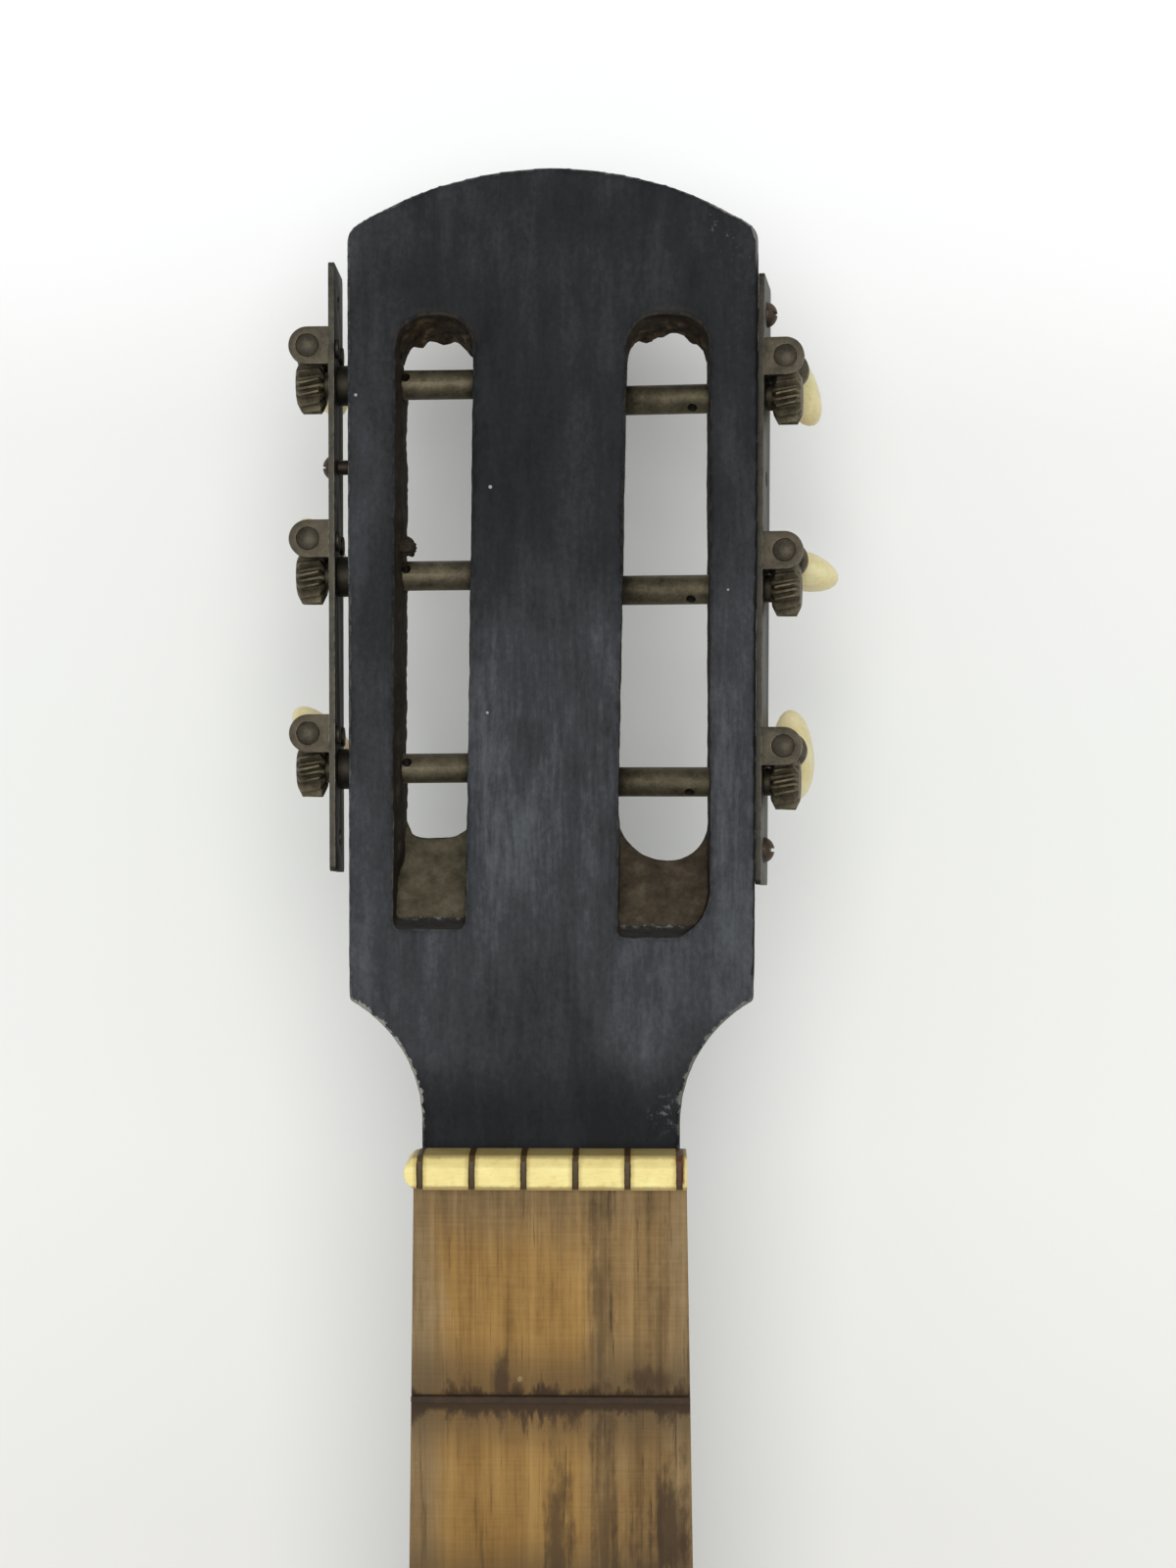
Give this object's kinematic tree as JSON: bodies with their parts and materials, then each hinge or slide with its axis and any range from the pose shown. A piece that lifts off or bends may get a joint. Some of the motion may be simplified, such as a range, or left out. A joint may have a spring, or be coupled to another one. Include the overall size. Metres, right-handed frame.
{
  "type": "guitar neck",
  "caption": "Guitar neck with a slotted head, fretted fingerboard, bone nut and heel, with strips of worm-geared string rollers that turn with their buttons.",
  "frame": {"origin": "middle of the top edge of the heel's joint face, on the underside of the fingerboard", "axes": "+X to the right seen from the front with the head up, +Y along the neck to the head, +Z out of the fingerboard"},
  "size_m": [0.0998, 0.603, 0.0956],
  "materials": {
    "black_wood": "worn black paint over wood",
    "neck_wood": "worn black stain over wood",
    "board_wood": "worn bare wood",
    "fret_brass": "tarnished",
    "bone": "polished, yellowed",
    "plate_brass": "tarnished",
    "screw_steel": "tarnished",
    "worm_steel": "tarnished",
    "gear_brass": "tarnished, bright on the teeth",
    "roller_steel": "worn",
    "button_bone": "polished, yellowed"
  },
  "bodies": {
    "neck": {"headstock": "black_wood", "neck_shaft": "neck_wood", "fingerboard": "board_wood", "frets": "fret_brass", "nut": "bone", "left_plate": "plate_brass", "right_plate": "plate_brass", "left_plate_screw": "screw_steel", "right_plate_screws": "screw_steel", "left_lower_bracket": "plate_brass", "left_middle_bracket": "plate_brass", "left_upper_bracket": "plate_brass", "right_lower_bracket": "plate_brass", "right_middle_bracket": "plate_brass", "right_upper_bracket": "plate_brass"},
    "left_lower_key": {"left_lower_worm": "worm_steel", "left_lower_button": "button_bone"},
    "left_lower_spool": {"left_lower_roller": "roller_steel", "left_lower_gear": "gear_brass", "left_lower_gear_screw": "screw_steel"},
    "left_middle_key": {"left_middle_worm": "worm_steel", "left_middle_button": "button_bone"},
    "left_middle_spool": {"left_middle_roller": "roller_steel", "left_middle_gear": "gear_brass", "left_middle_gear_screw": "screw_steel"},
    "left_upper_key": {"left_upper_worm": "worm_steel", "left_upper_button": "button_bone"},
    "left_upper_spool": {"left_upper_roller": "roller_steel", "left_upper_gear": "gear_brass", "left_upper_gear_screw": "screw_steel"},
    "right_lower_key": {"right_lower_worm": "worm_steel", "right_lower_button": "button_bone"},
    "right_lower_spool": {"right_lower_roller": "roller_steel", "right_lower_gear": "gear_brass", "right_lower_gear_screw": "screw_steel"},
    "right_middle_key": {"right_middle_worm": "worm_steel", "right_middle_button": "button_bone"},
    "right_middle_spool": {"right_middle_roller": "roller_steel", "right_middle_gear": "gear_brass", "right_middle_gear_screw": "screw_steel"},
    "right_upper_key": {"right_upper_worm": "worm_steel", "right_upper_button": "button_bone"},
    "right_upper_spool": {"right_upper_roller": "roller_steel", "right_upper_gear": "gear_brass", "right_upper_gear_screw": "screw_steel"}
  },
  "joints": [
    {"name": "left_lower_key_turn", "type": "hinge", "parent": "neck", "child": "left_lower_key", "pos_m": [-0.04226, 0.40139, -0.01613], "axis": [0, 0.1219, 0.9925], "continuous": true},
    {"name": "left_lower_spool_turn", "type": "hinge", "parent": "neck", "child": "left_lower_spool", "pos_m": [-0.03851, 0.39557, -0.01541], "axis": [1, 0.0089, -0.0011], "continuous": true},
    {"name": "left_middle_key_turn", "type": "hinge", "parent": "neck", "child": "left_middle_key", "pos_m": [-0.04257, 0.43513, -0.02027], "axis": [0, 0.1219, 0.9925], "continuous": true},
    {"name": "left_middle_spool_turn", "type": "hinge", "parent": "neck", "child": "left_middle_spool", "pos_m": [-0.03881, 0.42931, -0.01955], "axis": [1, 0.0089, -0.0011], "continuous": true},
    {"name": "left_upper_key_turn", "type": "hinge", "parent": "neck", "child": "left_upper_key", "pos_m": [-0.04287, 0.46888, -0.02441], "axis": [0, 0.1219, 0.9925], "continuous": true},
    {"name": "left_upper_spool_turn", "type": "hinge", "parent": "neck", "child": "left_upper_spool", "pos_m": [-0.03912, 0.46306, -0.0237], "axis": [1, 0.0089, -0.0011], "continuous": true},
    {"name": "right_lower_key_turn", "type": "hinge", "parent": "neck", "child": "right_lower_key", "pos_m": [0.04082, 0.39921, -0.01512], "axis": [-0.1392, 0.1219, 0.9827], "continuous": true},
    {"name": "right_lower_spool_turn", "type": "hinge", "parent": "neck", "child": "right_lower_spool", "pos_m": [0.0371, 0.39332, -0.01492], "axis": [0.9902, 0.0082, 0.1392], "continuous": true},
    {"name": "right_middle_key_turn", "type": "hinge", "parent": "neck", "child": "right_middle_key", "pos_m": [0.04113, 0.43295, -0.01926], "axis": [-0.1392, 0.1219, 0.9827], "continuous": true},
    {"name": "right_middle_spool_turn", "type": "hinge", "parent": "neck", "child": "right_middle_spool", "pos_m": [0.03741, 0.42707, -0.01906], "axis": [0.9902, 0.0082, 0.1392], "continuous": true},
    {"name": "right_upper_key_turn", "type": "hinge", "parent": "neck", "child": "right_upper_key", "pos_m": [0.04143, 0.4667, -0.02341], "axis": [-0.1392, 0.1219, 0.9827], "continuous": true},
    {"name": "right_upper_spool_turn", "type": "hinge", "parent": "neck", "child": "right_upper_spool", "pos_m": [0.03771, 0.46081, -0.0232], "axis": [0.9902, 0.0082, 0.1392], "continuous": true}
  ],
  "couplings": [
    {"joint": "left_lower_spool_turn", "follows": "left_lower_key_turn", "ratio": 0.071429},
    {"joint": "left_middle_spool_turn", "follows": "left_middle_key_turn", "ratio": 0.071429},
    {"joint": "left_upper_spool_turn", "follows": "left_upper_key_turn", "ratio": 0.071429},
    {"joint": "right_lower_spool_turn", "follows": "right_lower_key_turn", "ratio": 0.071429},
    {"joint": "right_middle_spool_turn", "follows": "right_middle_key_turn", "ratio": 0.071429},
    {"joint": "right_upper_spool_turn", "follows": "right_upper_key_turn", "ratio": 0.071429}
  ]
}
